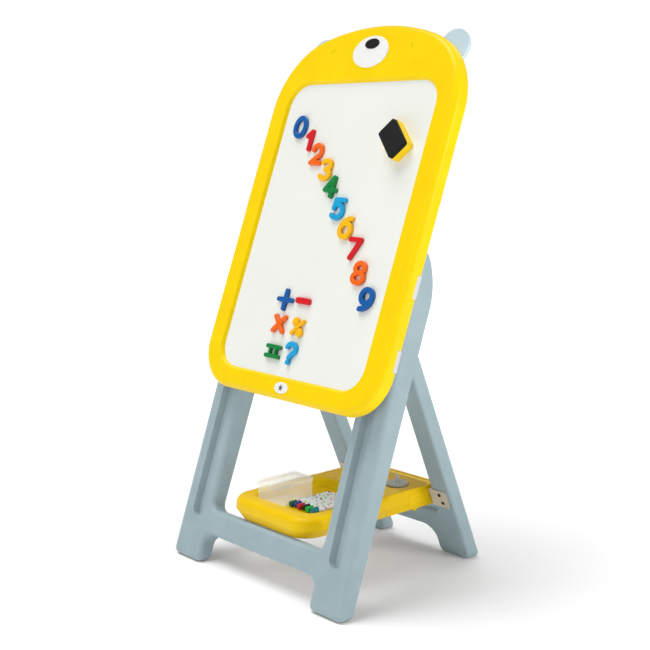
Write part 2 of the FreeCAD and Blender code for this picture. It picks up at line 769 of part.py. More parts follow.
def marker_spot(i):
    """Tip of a marker lying in the basin."""
    x = MARKER_X + i * MARKER_PITCH
    return x, (i % 2) * 2.0 - MARKER_FRONT, BASIN_FLOOR + CAP_R + REST_CLEAR


def marker_barrel(i):
    x, y, h = marker_spot(i)
    length = MARKER_LEN - MARKER_CAP
    barrel = rod((x, y + MARKER_CAP, h), (0, 1, 0), MARKER_R, length)
    barrel = barrel.makeFillet(1.6, [e for e in barrel.Edges
                                     if e.discretize(2)[0].y > y + MARKER_LEN - 1
                                     and e.Curve.TypeId == "Part::GeomCircle"])
    neck = rod((x, y + MARKER_CAP - MARKER_NECK, h), (0, 1, 0), MARKER_R - 1.6, MARKER_NECK)
    return put(fuse([barrel, neck]), TRAY)


def marker_cap(i):
    x, y, h = marker_spot(i)
    cap = rod((x, y, h), (0, 1, 0), CAP_R, MARKER_CAP)
    cap = cap.makeFillet(2.6, [e for e in cap.Edges
                               if abs(e.discretize(2)[0].y - y) < 0.1
                               and e.Curve.TypeId == "Part::GeomCircle"])
    socket = rod((x, y + MARKER_CAP - MARKER_NECK, h), (0, 1, 0), MARKER_R - 1.6, MARKER_NECK + 1)
    return put(cap.cut(socket), TRAY)


# ================================================================ magnets
def capsule(p, q, r):
    """Straight stroke with round ends."""
    a = V(p[0], p[1], 0)
    b = V(q[0], q[1], 0)
    d = (b - a).normalize()
    n = V(-d.y, d.x, 0) * r
    e = [Part.makeLine(a + n, b + n),
         Part.Arc(b + n, b + d * r, b - n).toShape(),
         Part.makeLine(b - n, a - n),
         Part.Arc(a - n, a - d * r, a + n).toShape()]
    return Part.Face(Part.Wire(e))


def bow(cx, cy, rx, ry, a0, a1, r):
    """Curved stroke along part of an ellipse, built from short joined strokes."""
    steps = max(6, int(abs(a1 - a0) / 15))
    pts = []
    for k in range(steps + 1):
        a = math.radians(a0 + (a1 - a0) * k / steps)
        pts.append((cx + rx * math.cos(a), cy + ry * math.sin(a)))
    return polyline(pts, r)


def polyline(pts, r):
    parts = [capsule(pts[i], pts[i + 1], r) for i in range(len(pts) - 1)]
    return parts


def ring(cx, cy, rx, ry, r):
    """Closed oval stroke."""
    outer = Part.Face(oval_any(cx, cy, rx + r, ry + r))
    inner = Part.Face(oval_any(cx, cy, max(rx - r, 1.0), max(ry - r, 1.0)))
    return [outer.cut(inner)]


def oval_any(cx, cy, a, b):
    if abs(a - b) < 1e-6:
        return Part.Wire([Part.makeCircle(a, V(cx, cy, 0))])
    if a > b:
        return Part.Wire([Part.Ellipse(V(cx, cy, 0), a, b).toShape()])
    curve = Part.Ellipse(V(cx, cy + a, 0) - V(0, a - b, 0), V(cx + a, cy, 0), V(cx, cy, 0))
    return Part.Wire([curve.toShape()])


def strokes(name, w, h):
    """Faces that make up one sign inside a box w wide and h high, centred on zero."""
    r = STROKE / 2
    x = w / 2 - r
    y = h / 2 - r
    if name == "0":
        return ring(0, 0, x, y, r)
    if name == "1":
        return polyline([(-x, y * 0.45), (x * 0.25, y), (x * 0.25, -y)], r)
    if name == "2":
        top = bow(0, y - x, x, x, 165, -35, r)
        return top + polyline([(x * 0.82, y - x * 1.57), (-x, -y), (x, -y)], r)
    if name == "3":
        q = y / 2
        return bow(0, q, x * 0.9, q, 150, -90, r) + bow(0, -q, x, q, 90, -150, r)
    if name == "4":
        return (polyline([(x * 0.35, -y), (x * 0.35, y), (-x, -y * 0.35), (x, -y * 0.35)], r))
    if name == "5":
        low = bow(-x * 0.1, -y + x * 0.95, x * 1.1, x * 0.95, 120, -140, r)
        return polyline([(x, y), (-x * 0.7, y), (-x * 0.8, y * 0.05)], r) + low
    if name == "6":
        return (ring(0, -y + x * 0.92, x, x * 0.92, r)
                + bow(x * 0.95, -y + x, x * 1.95, 2 * y - x, 180, 95, r))
    if name == "7":
        return polyline([(-x, y), (x, y), (-x * 0.35, -y)], r)
    if name == "8":
        q = y / 2
        return ring(0, q, x * 0.86, q, r * 0.95) + ring(0, -q, x, q, r * 0.95)
    if name == "9":
        return (ring(0, y - x * 0.92, x, x * 0.92, r)
                + bow(-x * 0.95, y - x, x * 1.95, 2 * y - x, 0, -85, r))
    if name == "plus":
        return polyline([(-x, 0), (x, 0)], r) + polyline([(0, -y), (0, y)], r)
    if name == "minus":
        return polyline([(-x, 0), (x, 0)], h / 2)
    if name == "times":
        return polyline([(-x, -y), (x, y)], r) + polyline([(-x, y), (x, -y)], r)
    if name == "percent":
        return (polyline([(-x * 0.9, -y * 0.9), (x * 0.9, y * 0.9)], r * 0.8)
                + [Part.Face(oval_any(-x * 0.55, y * 0.7, 8.5, 8.5))]
                + [Part.Face(oval_any(x * 0.55, -y * 0.7, 8.5, 8.5))])
    if name == "equals":
        return (polyline([(-x, y), (x, y)], r * 0.85) + polyline([(-x, -y), (x, -y)], r * 0.85)
                + polyline([(-x * 0.5, -y), (-x * 0.5, y)], 2.2)
                + polyline([(x * 0.5, -y), (x * 0.5, y)], 2.2))
    dot = Part.Face(oval_any(-x * 0.1, -y - 0.2, r, r))
    hook = bow(0, y - x * 0.8, x, x * 0.8, 165, -60, r * 0.95)
    tail = polyline([(x * 0.5, y - x * 1.5), (-x * 0.1, y - x * 2.2),
                     (-x * 0.1, -y + r * 2.0)], r * 0.9)
    web = polyline([(-x * 0.1, -y + r * 2.0), (-x * 0.1, -y)], 1.8)
    return hook + tail + web + [dot]


MAGNETS = (
    ("digit_0", "0", -148.0, 881.5, 38, 46),
    ("digit_1", "1", -108.5, 854.5, 26, 44),
    ("digit_2", "2", -77.5, 827.5, 34, 44),
    ("digit_3", "3", -39.5, 797.5, 36, 44),
    ("digit_4", "4", -11.0, 764.5, 37, 44),
    ("digit_5", "5", 24.5, 723.5, 36, 43),
    ("digit_6", "6", 59.5, 689.5, 37, 44),
    ("digit_7", "7", 95.0, 652.5, 36, 43),
    ("digit_8", "8", 126.0, 610.0, 36, 45),
    ("digit_9", "9", 161.5, 565.0, 36, 45),
    ("sign_plus", "plus", -53.5, 543.5, 46, 43),
    ("sign_minus", "minus", -2.5, 546.0, 38, 12),
    ("sign_times", "times", -52.5, 497.0, 36, 36),
    ("sign_percent", "percent", 2.0, 496.5, 38, 36),
    ("sign_equals", "equals", -48.5, 444.5, 43, 27),
    ("sign_question", "question", 1.5, 447.5, 33, 44),
)


def magnet(name, cx, cy, w, h):
    """A flat-backed magnetic sign standing on the white sheet."""
    w0 = -SHEET_RECESS
    faces = strokes(name, w, h)
    flat = faces[0]
    if len(faces) > 1:
        flat = faces[0].multiFuse(faces[1:])
    flat = flat.removeSplitter()
    body = flat.extrude(V(0, 0, MAGNET_THICK))
    body = fuse(body.Solids)
    body.translate(V(cx, cy, w0))
    return put(body, BOARD)


def eraser(w0, w1, half_x, half_y, r):
    body = slab(rect(-half_x, half_x, -half_y, half_y, r), w0, w1)
    body.rotate(V(0, 0, 0), V(0, 0, 1), 45.0)
    body.translate(V(ERASER_U, ERASER_V, 0))
    return body


def eraser_body():
    body = eraser(-SHEET_RECESS, 9.0, 22.0, 33.5, 6.0)
    return put(body, BOARD)


def eraser_felt():
    body = eraser(9.0, 16.0, 21.2, 32.7, 5.2)
    return put(soften(body, 16.0, 1.2), BOARD)


def save(name, shape):
    """Write one named piece, or a group of like pieces, as its own file."""
    if isinstance(shape, list):
        shape = Part.makeCompound(shape)
    shape.exportStep("parts/" + name + ".step")


def main():
    os.makedirs("parts", exist_ok=True)
    save("front_frame", front_frame())
    save("hinge_pins", hinge_pins())
    save("rear_frame", rear_frame())
    save("board_front_bezel", board_front_bezel())
    save("board_rear_bezel", board_rear_bezel())
    save("whiteboard_sheet", sheet(-SHEET_RECESS - SHEET_THICK, -SHEET_RECESS))
    back = -BOARD_THICK + CHALK_RECESS
    save("chalkboard_sheet", sheet(back, back + SHEET_THICK))
    save("board_core", sheet(back + SHEET_THICK, -SHEET_RECESS - SHEET_THICK))
    save("board_screws", board_screws())
    save("left_ear", ear(-1))
    save("right_ear", ear(1))
    save("muzzle_plate", muzzle_plate())
    save("nose", nose())
    save("badge", badge())
    save("badge_motif", badge_motif())
    save("board_clips", board_clips())
    save("clip_screws", clip_screws())
    save("tray_basin", tray_basin())
    save("tray_lid", tray_lid())
    save("lid_knob", lid_knob())
    save("left_tray_bracket", tray_bracket(-1))
    save("right_tray_bracket", tray_bracket(1))
    save("bracket_screws", bracket_screws())
    save("tray_pivot_pins", tray_pivots(PIVOT_R))
    save("box_base", box_base())
    save("box_lid", box_lid())
    for i in range(6):
        save("marker_barrel_%d" % (i + 1), marker_barrel(i))
        save("marker_cap_%d" % (i + 1), marker_cap(i))
    for node, name, cx, cy, w, h in MAGNETS:
        save(node, magnet(name, cx, cy, w, h))
    save("eraser_body", eraser_body())
    save("eraser_felt", eraser_felt())


main()
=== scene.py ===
# %% [markdown]
# # A kids easel, finish by finish
#
# The easel is two moulded plastic leg frames, a two-sided board that clips to the front
# legs and a tool tray between the legs.  Its engineering model holds every part.  This
# lesson loads that model as a fixed frame, gives each part the surface of its material,
# and remakes the parts whose small shapes matter to the eye: the magnetic numbers and
# signs, which get rounded edges, and the screws.

# %% Load the engineering model
import json
import math
import random

import bmesh
import bpy
from mathutils import Matrix, Vector

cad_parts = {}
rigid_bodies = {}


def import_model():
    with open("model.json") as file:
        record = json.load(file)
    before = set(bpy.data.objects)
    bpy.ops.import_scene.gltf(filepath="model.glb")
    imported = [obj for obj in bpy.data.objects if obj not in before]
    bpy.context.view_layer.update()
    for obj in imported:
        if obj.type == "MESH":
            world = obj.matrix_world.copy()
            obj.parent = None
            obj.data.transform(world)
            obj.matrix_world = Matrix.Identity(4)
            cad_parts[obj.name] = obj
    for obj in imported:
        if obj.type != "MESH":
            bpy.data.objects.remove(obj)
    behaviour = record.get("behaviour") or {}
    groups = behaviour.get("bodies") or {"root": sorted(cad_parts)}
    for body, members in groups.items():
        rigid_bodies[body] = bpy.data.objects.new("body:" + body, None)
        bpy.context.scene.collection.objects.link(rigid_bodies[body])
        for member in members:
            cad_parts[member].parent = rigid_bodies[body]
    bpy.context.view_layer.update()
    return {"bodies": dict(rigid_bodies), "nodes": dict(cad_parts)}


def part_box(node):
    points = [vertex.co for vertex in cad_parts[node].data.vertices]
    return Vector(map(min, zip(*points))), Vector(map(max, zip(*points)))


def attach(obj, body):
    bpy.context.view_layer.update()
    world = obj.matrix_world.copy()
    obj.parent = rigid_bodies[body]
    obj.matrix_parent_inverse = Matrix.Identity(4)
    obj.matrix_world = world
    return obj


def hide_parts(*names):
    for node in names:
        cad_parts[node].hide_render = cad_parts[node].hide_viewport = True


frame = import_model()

nodes = frame["nodes"]

# %% [markdown]
# ## Camera
#
# A long lens suits a tall narrow object, because a wide one would splay its legs.  The
# camera stands a little above the middle of the easel, to the right of it, and looks
# slightly down.  A camera looks along its own -Z, so it is first tipped up by nearly a
# right angle and then turned about the vertical.

# %% Stand the camera
CAMERA_AT = (1.7772, -1.5517, 0.8115)
CAMERA_DOWN = math.radians(8.49)
CAMERA_TURN = math.radians(49.66)

camera_data = bpy.data.cameras.new("studio_camera")
camera_data.lens = 70.26
camera_data.sensor_width = 36.0
camera = bpy.data.objects.new("studio_camera", camera_data)
camera.location = CAMERA_AT
camera.rotation_euler = (math.pi / 2 - CAMERA_DOWN, 0.0, CAMERA_TURN)
bpy.context.collection.objects.link(camera)
bpy.context.scene.camera = camera

# %% [markdown]
# ## Studio
#
# Toys are shown under very large soft lights, so shadows have no hard edge and every
# colour stays clean.  A bank of lamps overhead is so wide that it lights the
# whole floor evenly.  One square softbox on the right draws a bright line along rounded
# edges, and one in front lifts the board.
# The sky does two jobs.  As a light it is a soft grey fill, and as a backdrop it is
# paper white, so a Light Path node picks the brighter value only for what is seen
# directly.

# %% Lamps, sky and floor light
def area_lamp(name, at, aim, size, power):
    """A square soft lamp that looks from one point to another."""
    data = bpy.data.lights.new(name, "AREA")
    data.shape = "SQUARE"
    data.size = size
    data.energy = power
    lamp = bpy.data.objects.new(name, data)
    lamp.location = at
    lamp.rotation_euler = (Vector(aim) - Vector(at)).to_track_quat("-Z", "Y").to_euler()
    bpy.context.collection.objects.link(lamp)
    return lamp


def wide_sun(name, at, aim, strength, spread):
    """A lamp so far away that its light is even over the whole floor."""
    data = bpy.data.lights.new(name, "SUN")
    data.energy = strength
    data.angle = math.radians(spread)
    lamp = bpy.data.objects.new(name, data)
    lamp.location = at
    lamp.rotation_euler = (Vector(aim) - Vector(at)).to_track_quat("-Z", "Y").to_euler()
    bpy.context.collection.objects.link(lamp)
    return lamp


wide_sun("overhead_bank", (-0.7, -0.5, 3.0), (0.0, 0.0, 0.0), 2.1, 42.0)
area_lamp("right_softbox", (2.8, 0.7, 1.5), (0.0, 0.0, 0.5), 1.3, 32.0)
area_lamp("front_softbox", (-0.4, -3.0, 2.4), (0.0, 0.0, 0.95), 1.6, 13.0)

FILL = 0.31                    # sky brightness as a light
BACKDROP = 1.02                # sky brightness as a backdrop

sky = bpy.data.worlds.new("studio_sky")
sky.use_nodes = True
backdrop = sky.node_tree.nodes["Background"]
backdrop.inputs["Color"].default_value = (1.0, 1.0, 1.0, 1.0)
seen = sky.node_tree.nodes.new("ShaderNodeLightPath")
level = sky.node_tree.nodes.new("ShaderNodeMapRange")
level.inputs["To Min"].default_value = FILL
level.inputs["To Max"].default_value = BACKDROP
sky.node_tree.links.new(seen.outputs["Is Camera Ray"], level.inputs["Value"])
sky.node_tree.links.new(level.outputs["Result"], backdrop.inputs["Strength"])
bpy.context.scene.world = sky
bpy.context.scene.view_settings.view_transform = "Standard"

# %% [markdown]
# ## Colour and node helpers
#
# Paint charts give colours as sRGB hex values, but shaders work with linear light, so
# one function turns one into the other.  A second small function adds any node with its
# settings and links, which keeps each recipe below short enough to read.

# %% Two helpers for every finish
def srgb(code, alpha=1.0):
    """Linear RGBA of an sRGB hex value."""
    out = []
    for i in (0, 2, 4):
        c = int(code[i:i + 2], 16) / 255.0
        out.append(c / 12.92 if c <= 0.04045 else ((c + 0.055) / 1.055) ** 2.4)
    return (out[0], out[1], out[2], alpha)


def add(tree, kind, settings=None, **links):
    """Adds a node.  A link value is another node's socket, or a number or colour; an
    input that has spaces in its name is written with underscores."""
    node = tree.nodes.new(kind)
    for key, value in (settings or {}).items():
        setattr(node, key, value)
    for key, value in links.items():
        socket = node.inputs[int(key[1:])] if key[0] == "i" and key[1:].isdigit() \
            else node.inputs[key.replace("_", " ")]
        if isinstance(value, bpy.types.NodeSocket):
            tree.links.new(value, socket)
        else:
            socket.default_value = value
    return node


def finish_called(name):
    """A new material with an empty tree, its shader and its output."""
    material = bpy.data.materials.new(name)
    material.use_nodes = True
    tree = material.node_tree
    tree.nodes.clear()
    shader = tree.nodes.new("ShaderNodeBsdfPrincipled")
    out = tree.nodes.new("ShaderNodeOutputMaterial")
    tree.links.new(shader.outputs["BSDF"], out.inputs["Surface"])
    return material, tree, shader


def wear(node_name, material):
    """Gives a CAD part one finish all over."""
    slots = nodes[node_name].data.materials
    slots.clear()
    slots.append(material)


# %% [markdown]
# ## Blow-moulded polyethylene
#
# The legs, bezels, ears and tray are high-density polyethylene, blown or injected into
# a steel mould.  The mould is blasted with fine grit, so the plastic has a soft sheen
# and a texture of about half a millimetre.  Thick and thin walls cool at different
# rates, which leaves slow waves a few centimetres long, and a hair-thin ridge shows
# where the two mould halves met.  The recipe has those three bumps, a slight drift in
# colour, and a little light let in under the surface.  One thing here isn't physical:
# light that bounces off a part is made nearly grey, so that the yellow tray doesn't
# tint the floor under it.

# %% Moulded HDPE
GRIT_MM = 0.9                  # real grit is finer; drawn coarse enough to show
WAVE_MM = 45.0
SEAM_WIDE = 0.0009
BOUNCE_SATURATION = 0.12      # colour left in the light that a part throws on others
FRONT_LEAN = math.radians(17.83)
FRONT_OUT = Vector((0.0, -math.cos(FRONT_LEAN), math.sin(FRONT_LEAN)))
REAR_LEAN = math.radians(-23.1)
REAR_OUT = Vector((0.0, -math.cos(REAR_LEAN), math.sin(REAR_LEAN)))
BOARD_LEAN = math.radians(19.95)
BOARD_OUT = Vector((0.0, -math.cos(BOARD_LEAN), math.sin(BOARD_LEAN)))


def depth_of(part, facing, share):
    """How far along a direction the plane lies that parts a piece at that share."""
    depths = [facing.dot(v.co) for v in nodes[part].data.vertices]
    return max(depths) * (1.0 - share) + min(depths) * share



def moulded_hdpe(name, base, shade, rough=0.42, grit=0.12, gloss=0.28, seam=None):
    """Polyethylene from a grit-blasted mould; base drifts a little towards shade.  The
    seam is (direction, distance) of the plane where the two mould halves met."""
    material, tree, shader = finish_called(name)
    place = add(tree, "ShaderNodeTexCoord").outputs["Object"]
    waves = add(tree, "ShaderNodeTexNoise", Vector=place, Scale=1000.0 / WAVE_MM,
                Detail=2.0, Roughness=0.4)
    grain = add(tree, "ShaderNodeTexNoise", Vector=place, Scale=1000.0 / GRIT_MM,
                Detail=1.0, Roughness=0.5)
    drift = add(tree, "ShaderNodeMapRange", Value=waves.outputs["Fac"], From_Min=0.3,
                From_Max=0.7, To_Min=0.0, To_Max=1.0)
    colour = add(tree, "ShaderNodeMix", {"data_type": "RGBA"},
                 Factor=drift.outputs["Result"])
    colour.inputs["A"].default_value = srgb(base)
    colour.inputs["B"].default_value = srgb(shade)
    sheen = add(tree, "ShaderNodeMapRange", Value=grain.outputs["Fac"], To_Min=rough - 0.06,
                To_Max=rough + 0.06)
    slow = add(tree, "ShaderNodeBump", Height=waves.outputs["Fac"], Strength=0.10,
               Distance=0.004)
    if seam:
        depth = add(tree, "ShaderNodeVectorMath", {"operation": "DOT_PRODUCT"}, i0=place,
                    i1=tuple(seam[0]))
        off = add(tree, "ShaderNodeMath", {"operation": "SUBTRACT"},
                  i0=depth.outputs["Value"], i1=seam[1])
        near = add(tree, "ShaderNodeMath", {"operation": "ABSOLUTE"},
                   i0=off.outputs["Value"])
        ridge = add(tree, "ShaderNodeMapRange", Value=near.outputs["Value"],
                    From_Max=SEAM_WIDE, To_Min=1.0, To_Max=0.0)
        slow = add(tree, "ShaderNodeBump", Height=ridge.outputs["Result"], Strength=0.5,
                   Distance=0.0004, Normal=slow.outputs["Normal"])
    fine = add(tree, "ShaderNodeBump", Height=grain.outputs["Fac"], Strength=grit,
               Distance=0.0003, Normal=slow.outputs["Normal"])
    grey = add(tree, "ShaderNodeHueSaturation", Saturation=BOUNCE_SATURATION,
               Color=colour.outputs["Result"])
    ray = add(tree, "ShaderNodeLightPath")
    bounce = add(tree, "ShaderNodeMix", {"data_type": "RGBA"},
                 Factor=ray.outputs["Is Diffuse Ray"])
    tree.links.new(colour.outputs["Result"], bounce.inputs["A"])
    tree.links.new(grey.outputs["Color"], bounce.inputs["B"])
    tree.links.new(bounce.outputs["Result"], shader.inputs["Base Color"])
    tree.links.new(sheen.outputs["Result"], shader.inputs["Roughness"])
    tree.links.new(fine.outputs["Normal"], shader.inputs["Normal"])
    shader.inputs["Specular IOR Level"].default_value = gloss
    shader.inputs["IOR"].default_value = 1.54
    shader.inputs["Subsurface Weight"].default_value = 0.06
    shader.inputs["Subsurface Radius"].default_value = (0.004, 0.003, 0.002)
    return material


front_hdpe = moulded_hdpe("moulded_hdpe_blue_grey_front", "A3B8BE", "9DB2B8",
                          seam=(FRONT_OUT, depth_of("front_frame", FRONT_OUT, 0.0) - 0.015))
rear_hdpe = moulded_hdpe("moulded_hdpe_blue_grey_rear", "A3B8BE", "9DB2B8",
                         seam=(REAR_OUT, depth_of("rear_frame", REAR_OUT, 1.0) + 0.015))
bezel_hdpe = moulded_hdpe("moulded_hdpe_yellow", "FFDA00", "FCD500", rough=0.30, gloss=0.14)
tray_hdpe = moulded_hdpe("moulded_hdpe_tray_yellow", "F8CE00", "F3C700", rough=0.30, gloss=0.14)
ear_hdpe = moulded_hdpe("moulded_hdpe_pale_blue", "C9DEE4", "C2D8DF",
                        seam=(BOARD_OUT, depth_of("left_ear", BOARD_OUT, 0.5)))

wear("front_frame", front_hdpe)
wear("rear_frame", rear_hdpe)
for part in ("board_front_bezel", "board_rear_bezel"):
    wear(part, bezel_hdpe)
wear("tray_basin", tray_hdpe)
for part in ("left_ear", "right_ear"):
    wear(part, ear_hdpe)
print("moulded parts have their polyethylene")

# %% [markdown]
# ## Enamelled steel sheet
#
# A magnetic white board is thin steel with a hard white enamel.  The enamel flows as it
# is baked, so it is smooth and glossy with a faint orange peel, and rubbed-out writing
# leaves a barely grey cloud.  The back sheet is the same steel with a matt green-black
# paint that holds chalk, and old chalk dust stays in wiped streaks.

# %% White enamel and chalkboard paint
def white_enamel():
    material, tree, shader = finish_called("white_enamelled_steel")
    place = add(tree, "ShaderNodeTexCoord").outputs["Object"]
    cloud = add(tree, "ShaderNodeTexNoise", Vector=place, Scale=6.0, Detail=3.0)
    peel = add(tree, "ShaderNodeTexNoise", Vector=place, Scale=350.0, Detail=1.0)
    colour = add(tree, "ShaderNodeMix", {"data_type": "RGBA"}, Factor=cloud.outputs["Fac"])
    colour.inputs["A"].default_value = srgb("F7F9F3")
    colour.inputs["B"].default_value = srgb("F0F3EA")
    bump = add(tree, "ShaderNodeBump", Height=peel.outputs["Fac"], Strength=0.05,
               Distance=0.0004)
    tree.links.new(colour.outputs["Result"], shader.inputs["Base Color"])
    tree.links.new(bump.outputs["Normal"], shader.inputs["Normal"])
    shader.inputs["Roughness"].default_value = 0.24
    shader.inputs["Coat Weight"].default_value = 0.3
    shader.inputs["Coat Roughness"].default_value = 0.12
    return material


def chalk_paint():
    material, tree, shader = finish_called("chalkboard_paint_on_steel")
    place = add(tree, "ShaderNodeTexCoord").outputs["Object"]
    lay = add(tree, "ShaderNodeMapping", Vector=place, Scale=(14.0, 3.0, 3.0),
              Rotation=(0.0, 0.5, 0.0))
    dust = add(tree, "ShaderNodeTexNoise", Vector=lay.outputs["Vector"], Scale=1.0,
               Detail=6.0, Roughness=0.65)
    grain = add(tree, "ShaderNodeTexNoise", Vector=place, Scale=900.0, Detail=1.0)
    mask = add(tree, "ShaderNodeMapRange", Value=dust.outputs["Fac"], From_Min=0.42,
               From_Max=0.80, To_Min=0.0, To_Max=0.35)
    colour = add(tree, "ShaderNodeMix", {"data_type": "RGBA"}, Factor=mask.outputs["Result"])
    colour.inputs["A"].default_value = srgb("2C3B36")
    colour.inputs["B"].default_value = srgb("9AA8A2")
    bump = add(tree, "ShaderNodeBump", Height=grain.outputs["Fac"], Strength=0.3,
               Distance=0.0003)
    tree.links.new(colour.outputs["Result"], shader.inputs["Base Color"])
    tree.links.new(bump.outputs["Normal"], shader.inputs["Normal"])
    shader.inputs["Roughness"].default_value = 0.88
    return material


wear("whiteboard_sheet", white_enamel())
wear("chalkboard_sheet", chalk_paint())

# %% [markdown]
# ## Small injected parts
#
# Magnets, clips, the knob and the eye are injected into polished moulds, so they are
# glossier than the legs.  One recipe covers them: a clear colour, a smooth skin with
# the faintest ripple, and a roughness chosen for each plastic.

# %% Glossy and satin injected plastics
def injected_plastic(name, base, rough, ripple=0.04, sss=0.0):
    """ABS, polypropylene or polystyrene from a polished mould."""
    material, tree, shader = finish_called(name)
    place = add(tree, "ShaderNodeTexCoord").outputs["Object"]
    flow = add(tree, "ShaderNodeTexNoise", Vector=place, Scale=160.0, Detail=2.0)
    tone = add(tree, "ShaderNodeMapRange", Value=flow.outputs["Fac"], To_Min=0.94,
               To_Max=1.06)
    colour = add(tree, "ShaderNodeHueSaturation", Value=tone.outputs["Result"],
                 Color=srgb(base))
    sheen = add(tree, "ShaderNodeMapRange", Value=flow.outputs["Fac"], To_Min=rough - 0.04,
                To_Max=rough + 0.04)
    bump = add(tree, "ShaderNodeBump", Height=flow.outputs["Fac"], Strength=ripple,
               Distance=0.0005)
    tree.links.new(colour.outputs["Color"], shader.inputs["Base Color"])
    tree.links.new(sheen.outputs["Result"], shader.inputs["Roughness"])
    tree.links.new(bump.outputs["Normal"], shader.inputs["Normal"])
    shader.inputs["IOR"].default_value = 1.52
    shader.inputs["Specular IOR Level"].default_value = 0.35
    shader.inputs["Subsurface Weight"].default_value = sss
    shader.inputs["Subsurface Radius"].default_value = (0.002, 0.0015, 0.001)
    return material


def paint_rim_shade(material, middle, radius):
    """Paints shade on the outer rim of a round part, where the gap around it lies in shadow."""
    tree = material.node_tree
    shader = next(n for n in tree.nodes if n.type == "BSDF_PRINCIPLED")
    plain = shader.inputs["Base Color"].links[0].from_socket
    place = add(tree, "ShaderNodeTexCoord").outputs["Object"]
    away = add(tree, "ShaderNodeVectorMath", {"operation": "SUBTRACT"}, i0=place,
               i1=tuple(middle))
    flat = add(tree, "ShaderNodeVectorMath", {"operation": "MULTIPLY"},
               i0=away.outputs["Vector"], i1=(1.0, 1.0, 0.0))
    span = add(tree, "ShaderNodeVectorMath", {"operation": "LENGTH"},
               i0=flat.outputs["Vector"])
    mask = add(tree, "ShaderNodeMapRange", Value=span.outputs["Value"],
               From_Min=radius - 0.0018, From_Max=radius - 0.0010)
    colour = add(tree, "ShaderNodeMix", {"data_type": "RGBA"}, Factor=mask.outputs["Result"])
    colour.inputs["B"].default_value = srgb("3A2A08")
    tree.links.new(plain, colour.inputs["A"])
    tree.links.new(colour.outputs["Result"], shader.inputs["Base Color"])


SIGN_COLOURS = {"blue": "005CAA", "red": "DD0F1E", "orange": "FB6A0A", "amber": "FFBF00",
                "green": "00853B", "sky": "12A6DC"}
sign_abs = {key: injected_plastic("moulded_abs_" + key, code, 0.30, sss=0.03)
            for key, code in SIGN_COLOURS.items()}
SIGN_ORDER = ("blue", "red", "orange", "amber", "green", "sky", "amber", "red", "orange",
              "blue", "blue", "red", "orange", "amber", "green", "sky")
SIGN_NODES = ["digit_%d" % i for i in range(10)] + [
    "sign_plus", "sign_minus", "sign_times", "sign_percent", "sign_equals", "sign_question"]
for part, key in zip(SIGN_NODES, SIGN_ORDER):
    wear(part, sign_abs[key])

white_pp = injected_plastic("moulded_polypropylene_white", "F4F4F1", 0.42, sss=0.05)
clip_pp = injected_plastic("moulded_polypropylene_grey", "D3D6D5", 0.42, sss=0.05)
nose_abs = injected_plastic("moulded_abs_black", "0D0D0B", 0.34)
knob_abs = injected_plastic("moulded_abs_grey", "C0C3BF", 0.30)
knob_low, knob_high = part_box("lid_knob")
KNOB_MIDDLE = (knob_low + knob_high) / 2
KNOB_R = (knob_high.x - knob_low.x) / 2
bracket_pom = injected_plastic("moulded_acetal_beige", "D6C9B0", 0.45)
print_ink = injected_plastic("pad_printed_grey_ink", "5A6266", 0.6)
for part in ("muzzle_plate", "badge", "board_core"):
    wear(part, white_pp)
wear("board_clips", clip_pp)
wear("nose", nose_abs)
wear("lid_knob", knob_abs)
wear("badge_motif", print_ink)
for part in ("left_tray_bracket", "right_tray_bracket"):
    wear(part, bracket_pom)
# Painted shade: a dark brown ring on the knob's rim stands for the shadow in the gap between
# knob and lid.
paint_rim_shade(knob_abs, KNOB_MIDDLE, KNOB_R)
print("knob radius in mm:", round(KNOB_R * 1000, 1))

# %% [markdown]
# ## Clear plastics
#
# The tray lid is a thin clear sheet that shows the yellow tray through it, and the box
# is polypropylene, which is milky because its crystals scatter light.  A wall this thin
# hardly bends light, so each is a mix of plain see-through and a glossy milky body.
# The wall hides more where it is seen edge-on, as on any clear box.

# %% Clear lid and frosted box
MILK_PAINTED_GLOW = 0.16               # painted glow, standing in for light that scatters inside a milky wall


def clear_plastic(name, tint, body, rough, milk, rim):
    """A thin wall: milk is how much one face hides seen face-on, and rim seen edge-on."""
    material, tree, shader = finish_called(name)
    out = next(n for n in tree.nodes if n.type == "OUTPUT_MATERIAL")
    place = add(tree, "ShaderNodeTexCoord").outputs["Object"]
    flow = add(tree, "ShaderNodeTexNoise", Vector=place, Scale=60.0, Detail=2.0)
    bump = add(tree, "ShaderNodeBump", Height=flow.outputs["Fac"], Strength=0.06,
               Distance=0.001)
    sheen = add(tree, "ShaderNodeMapRange", Value=flow.outputs["Fac"], To_Min=rough * 0.8,
                To_Max=rough * 1.2)
    edge = add(tree, "ShaderNodeLayerWeight", Blend=0.5)
    steep = add(tree, "ShaderNodeMath", {"operation": "POWER"}, i0=edge.outputs["Facing"],
                i1=4.0)
    cover = add(tree, "ShaderNodeMapRange", Value=steep.outputs["Value"], To_Min=milk,
                To_Max=rim)
    ray = add(tree, "ShaderNodeLightPath")
    lit = add(tree, "ShaderNodeMapRange", Value=ray.outputs["Is Shadow Ray"], To_Min=1.0,
              To_Max=0.25)
    cover = add(tree, "ShaderNodeMath", {"operation": "MULTIPLY"},
                i0=cover.outputs["Result"], i1=lit.outputs["Result"])
    open_wall = add(tree, "ShaderNodeBsdfTransparent", Color=srgb(tint))
    blend = add(tree, "ShaderNodeMixShader", Fac=cover.outputs["Value"],
                i1=open_wall.outputs["BSDF"], i2=shader.outputs["BSDF"])
    tree.links.new(blend.outputs["Shader"], out.inputs["Surface"])
    tree.links.new(bump.outputs["Normal"], shader.inputs["Normal"])
    tree.links.new(sheen.outputs["Result"], shader.inputs["Roughness"])
    shader.inputs["Base Color"].default_value = srgb(body)
    # Painted glow: each wall emits its own body colour, standing in for the light that a milky
    # wall scatters.
    shader.inputs["Emission Color"].default_value = srgb(body)
    shader.inputs["Emission Strength"].default_value = MILK_PAINTED_GLOW
    shader.inputs["IOR"].default_value = 1.5
    return material


